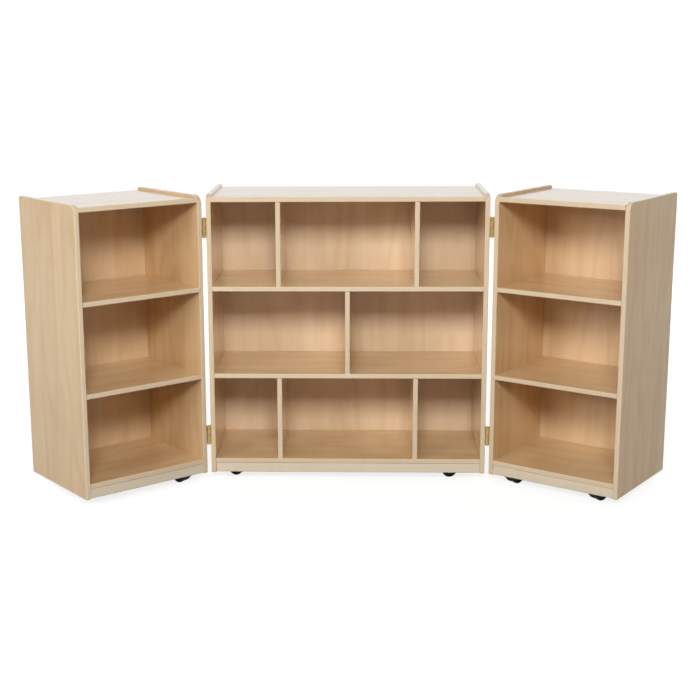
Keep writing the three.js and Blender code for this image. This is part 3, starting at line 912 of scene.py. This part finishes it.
class Caster:
    """The sizes of a twin-wheel caster. Its own axes have the swivel axis upright at the
    origin, the wheels trailing to +x and the axle along y."""

    def __init__(self, prefix):
        swivel, axle = caster_axes(prefix)
        self.trail = (axle - swivel).to_2d().length
        self.axle_z = axle.z
        self.axle_place = (self.trail, 0, self.axle_z)
        low, high = box_in(caster_place(prefix), prefix + "_caster_wheels")
        self.half_width = (high.y - low.y) / 2
        self.collar_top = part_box(prefix + "_caster_housing")[1].z
        facet_to_corner = 1 / math.cos(math.pi / SOLID_WHEEL_SIDES)
        self.well_radius = self.axle_z * facet_to_corner + HOOD_GAP
        self.hood_radius = self.well_radius + HOOD_WALL

    def wheels(self):
        """Both wheels and their axle in one turned solid: a crowned tread with rounded edges,
        and a dished face with a raised ring and hub."""
        radius, width = self.axle_z, self.half_width
        inner = SPINE_WIDTH / 2 + SPINE_GAP
        half = [(r, width + y) for r, y in WHEEL_FACE]
        for angle in quarter_angles(DOME_FACETS):
            half.append((
                radius - WHEEL_EDGE * (1 - math.sin(angle)),
                width - WHEEL_EDGE * (1 - math.cos(angle)),
            ))
        half += [(radius, (width + inner) / 2), (radius, inner + WHEEL_EDGE)]
        half.append((radius - WHEEL_EDGE_MIDDLE, inner + WHEEL_EDGE_MIDDLE))
        half += [(radius - WHEEL_EDGE, inner), (AXLE_RADIUS, inner)]
        profile = half + [(r, -y) for r, y in reversed(half)]
        return turned("caster_wheels", profile, WHEEL_SIDES, across_y)

    def arc(self, radius, start, end, steps):
        """Points round the axle, in x and z."""
        angles = [math.radians(start + (end - start) * n / steps) for n in range(steps + 1)]
        return [
            (self.trail + radius * math.cos(a), self.axle_z + radius * math.sin(a))
            for a in angles
        ]

    def shell(self, made):
        """The hood and the spine in one block, before the wheels' wells are cut."""
        hub_radius = AXLE_RADIUS + AXLE_CLEARANCE + HUB_WALL
        rings = []
        for y, inset in rounded_ends(-self.half_width, self.half_width, HOOD_EDGE):
            outline = self.arc(self.hood_radius - inset, *HOOD_ARC, HOOD_FACETS)
            outline += self.arc(hub_radius - inset, *HUB_ARC, HUB_FACETS)
            rings.append([(x, y, z) for x, z in reversed(outline)])
        loft(made, rings)

    def wells(self, made):
        for end in (-1, 1):
            near, far = end * SPINE_WIDTH / 2, end * (self.half_width + CUT_SPARE)
            profile = cylinder(self.well_radius, near, far)
            lathe(made, profile, WHEEL_SIDES, across_y, self.axle_place)

    def housing(self):
        """The moulded housing: hood, spine, collar and boss, with its wells and bores."""
        top = self.collar_top
        low = top - COLLAR_HEIGHT
        rim = [(COLLAR_RADIUS - inset, z) for z, inset in rounded_ends(low, top, HOOD_EDGE)]
        collar = [(0, low), *rim, (0, top)]
        bore_floor = top - KING_PIN_LENGTH
        boss = cylinder(SPINE_WIDTH / 2, bore_floor - BOSS_FLOOR, top - COLLAR_HEIGHT / 2)
        axle_bore = cylinder(AXLE_RADIUS + AXLE_CLEARANCE, -SPINE_WIDTH, SPINE_WIDTH)
        pin_bore = cylinder(KING_PIN_RADIUS + KING_PIN_CLEARANCE, bore_floor, top + CUT_SPARE)
        return combine(
            "caster_housing",
            mesh_from("shell", self.shell),
            ("UNION", turned("collar", collar, COLLAR_SIDES, upright)),
            ("UNION", turned("boss", boss, COLLAR_SIDES, upright)),
            ("DIFFERENCE", mesh_from("wells", self.wells)),
            ("DIFFERENCE", turned("axle_bore", axle_bore, PIN_SIDES, across_y, self.axle_place)),
            ("DIFFERENCE", turned("pin_bore", pin_bore, COLLAR_SIDES, upright)),
        )


def caster_axes(prefix):
    """A caster's swivel axis and axle, as points."""
    return [Vector(JOINTS[prefix + end]["pos_m"]) for end in ("_swivel", "_roll")]


def caster_place(prefix):
    """The matrix from a caster's own axes to the frame's."""
    swivel, axle = caster_axes(prefix)
    heading = math.atan2(axle.y - swivel.y, axle.x - swivel.x)
    return Matrix.Translation((swivel.x, swivel.y, 0)) @ Matrix.Rotation(heading, 4, "Z")


def mounting_mesh():
    """A caster's plate under z = 0 with its four screws and its king pin."""
    edge = PLATE_SIZE / 2

    def plate(made):
        rings = []
        for z, inset in rounded_ends(-PLATE_THICKNESS, 0, PLATE_EDGE, PLATE_EDGE_FACETS):
            radii = [PLATE_CORNER_RADIUS] * 4
            outline = rounded_rectangle(-edge, -edge, edge, edge, radii, inset)
            rings.append([(x, y, z) for x, y in outline])
        loft(made, rings)

    low = -PLATE_THICKNESS - KING_PIN_LENGTH
    pin = [
        (0, low),
        (KING_PIN_RADIUS - KING_PIN_CHAMFER, low),
        (KING_PIN_RADIUS, low + KING_PIN_CHAMFER),
        (KING_PIN_RADIUS, -KING_PIN_SINK),
        (0, -KING_PIN_SINK),
    ]
    flip = Matrix.Rotation(math.pi, 4, "X")
    offset = PLATE_SCREW_OFFSET
    spots = [
        Matrix.Translation((x * offset, y * offset, PLATE_SCREW_SINK - PLATE_THICKNESS)) @ flip
        @ Matrix.Rotation(PLATE_SCREW_TURN * n, 4, "Z")
        for n, (x, y) in enumerate(((-1, -1), (1, -1), (1, 1), (-1, 1)))
    ]
    return combine(
        "caster_mounting",
        mesh_from("plate", plate),
        ("UNION", turned("pin", pin, PIN_SIDES, upright)),
        ("UNION", copies("plate_screws", pan_screw(), spots)),
    )


def add_casters(sections):
    sample = Caster("centre_front_left")
    housing, wheels, mounting = sample.housing(), sample.wheels(), mounting_mesh()
    for section in sections:
        for corner in ("front_left", "front_right", "back_left", "back_right"):
            prefix = f"{section.name}_{corner}"
            place = caster_place(prefix)
            node = prefix + "_caster_housing"
            add_piece(
                node + "_moulded", housing, place, prefix + "_caster", node, "caster_black", HOUSING
            )
            axle = place @ Matrix.Translation(sample.axle_place)
            node = prefix + "_caster_wheels"
            add_piece(
                node + "_turned", wheels, axle, prefix + "_wheels", node, "wheel_black", TREAD
            )
            board = section.name + "_bottom_board"
            swivel = section.place.inverted() @ caster_axes(prefix)[0]
            under = section.box(board)[1].z - section.thickness
            spot = section.place @ Matrix.Translation((swivel.x, swivel.y, under))
            add_piece(
                prefix + "_caster_mounting", mounting, spot, section.name, board, "zinc_steel", ZINC
            )


# The whole bookcase

def wing_rotation(wing):
    """How far a wing stands open, from in line with the centre section."""
    joint = JOINTS[wing + "_fold"]
    return Matrix.Rotation(math.radians(-joint["range_deg"][0]), 4, Vector(joint["axis"]))


def build_bookcase():
    centre = Section("centre", ("centre_left_side", "centre_right_side"), Matrix.Identity(4))
    left = Section(
        "left_wing", ("left_wing_outer_side", "left_wing_inner_side"), wing_rotation("left_wing")
    )
    right = Section(
        "right_wing",
        ("right_wing_inner_side", "right_wing_outer_side"),
        wing_rotation("right_wing"),
    )
    for section in (centre, left, right):
        section.side(section.left)
        section.side(section.right)
        section.end_board(section.name + "_bottom_board", True)
        section.end_board(section.name + "_top_board", False)
        section.shelf(section.name + "_lower_shelf")
        section.shelf(section.name + "_upper_shelf")
        section.rail()
        # The centre's back panel gets the paler copy of the back wood, with painted light on it.
        section.back_panel(CENTRE_BACK_PAINTED_LIGHT if section is centre else BACK)
    for node in sorted(NODES):
        if node.endswith("_divider"):
            centre.divider(node)
    add_hinges(left)
    add_hinges(right)
    add_casters((centre, left, right))


# Stage

def make_camera():
    """The photograph's camera. Its frame is off its axis a little, which the shift gives."""
    cos_pitch = math.cos(CAMERA_PITCH)
    forward = Vector((
        -math.sin(CAMERA_YAW) * cos_pitch,
        math.cos(CAMERA_YAW) * cos_pitch,
        -math.sin(CAMERA_PITCH),
    ))
    level = Vector((math.cos(CAMERA_YAW), math.sin(CAMERA_YAW), 0))
    up = level.cross(forward)
    cos_roll, sin_roll = math.cos(CAMERA_ROLL), math.sin(CAMERA_ROLL)
    right = cos_roll * level - sin_roll * up
    above = sin_roll * level + cos_roll * up
    camera = bpy.data.cameras.new("camera")
    camera.sensor_width = SENSOR_WIDTH
    camera.lens = FOCAL_PIXELS / IMAGE_SIZE * SENSOR_WIDTH
    camera.shift_x = 0.5 - PRINCIPAL_POINT[0] / IMAGE_SIZE
    camera.shift_y = PRINCIPAL_POINT[1] / IMAGE_SIZE - 0.5
    holder = add_object("camera", camera)
    turn = Matrix((right, above, -forward)).transposed().to_4x4()
    holder.matrix_world = Matrix.Translation(CAMERA_PLACE) @ turn
    bpy.context.scene.camera = holder


def add_softbox(name, place, width, height, power):
    light = bpy.data.lights.new(name, "AREA")
    light.shape = "RECTANGLE"
    light.size, light.size_y = width, height
    light.energy = power
    holder = add_object(name, light)
    holder.rotation_mode = "QUATERNION"
    holder.rotation_quaternion = (LIGHT_TARGET - Vector(place)).to_track_quat("-Z", "Y")
    holder.location = place
    holder.visible_camera = False
    holder.visible_glossy = False  # it would glare along the tops when seen from across


def make_world():
    """A white world: plain light on the object, pure white where the camera looks, and in
    mirrors the white backdrop behind the bookcase and the dimmer rest of the studio."""
    world = bpy.data.worlds.new("studio")
    bpy.context.scene.world = world
    world.use_nodes = True
    nodes = Nodes(world.node_tree)
    nodes.tree.nodes.clear()
    direction = nodes.node("TexCoord").outputs["Generated"]
    along = nodes.vector("DOT_PRODUCT", direction, STUDIO_DIRECTION)
    studio = nodes.remap(along, *STUDIO_BLEND, STUDIO_DIM, STUDIO_BRIGHT)
    camera = nodes.node("LightPath").outputs["Is Camera Ray"]
    brightest = nodes.math("MAXIMUM", studio, camera)
    lit = nodes.node("Background", {"Color": WHITE, "Strength": WORLD_LIGHT}).outputs[0]
    seen = nodes.node("Background", {"Color": WHITE, "Strength": brightest}).outputs[0]
    mixed = nodes.node("MixShader", {0: nodes.seen_share(), 1: lit, 2: seen}).outputs[0]
    nodes.node("OutputWorld", {0: mixed})


def make_floor():
    """A white floor that runs far behind the bookcase. A little glow where it is seen brings it
    to the background's white, and leaves the bookcase's soft shadow on it."""
    shader = Shader("studio_floor")
    shader.set(Base_Color=FLOOR_COLOUR, Roughness=FLOOR_ROUGHNESS)
    place = shader.node("TexCoord").outputs["Object"]
    distance = shader.vector("LENGTH", place)
    level = shader.remap(distance, *FLOOR_GLOW_REACH, FLOOR_GLOW_NEAR, FLOOR_GLOW_FAR)
    along = shader.vector("DOT_PRODUCT", place, STUDIO_DIRECTION)
    mirrored = shader.remap(
        along, *FLOOR_MIRRORED_BLEND, FLOOR_MIRRORED_DIM, FLOOR_MIRRORED_BRIGHT
    )
    strength = shader.math("MULTIPLY", shader.seen_share(mirrored), level)
    glow = shader.node("Emission", {"Color": WHITE, "Strength": strength}).outputs[0]
    both = shader.node("AddShader", {0: shader.surface.outputs[0], 1: glow}).outputs[0]
    shader.feed(shader.tree.nodes["Material Output"].inputs[0], both)
    made = bmesh.new()
    bmesh.ops.create_grid(made, x_segments=2, y_segments=2, size=FLOOR_HALF)
    data = bpy.data.meshes.new("floor")
    made.to_mesh(data)
    made.free()
    data.materials.append(shader.material)
    add_object("floor", data)


make_camera()
build_bookcase()
make_world()
make_floor()
for softbox in SOFTBOXES:
    add_softbox(*softbox)
bpy.context.scene.view_settings.view_transform = "Standard"
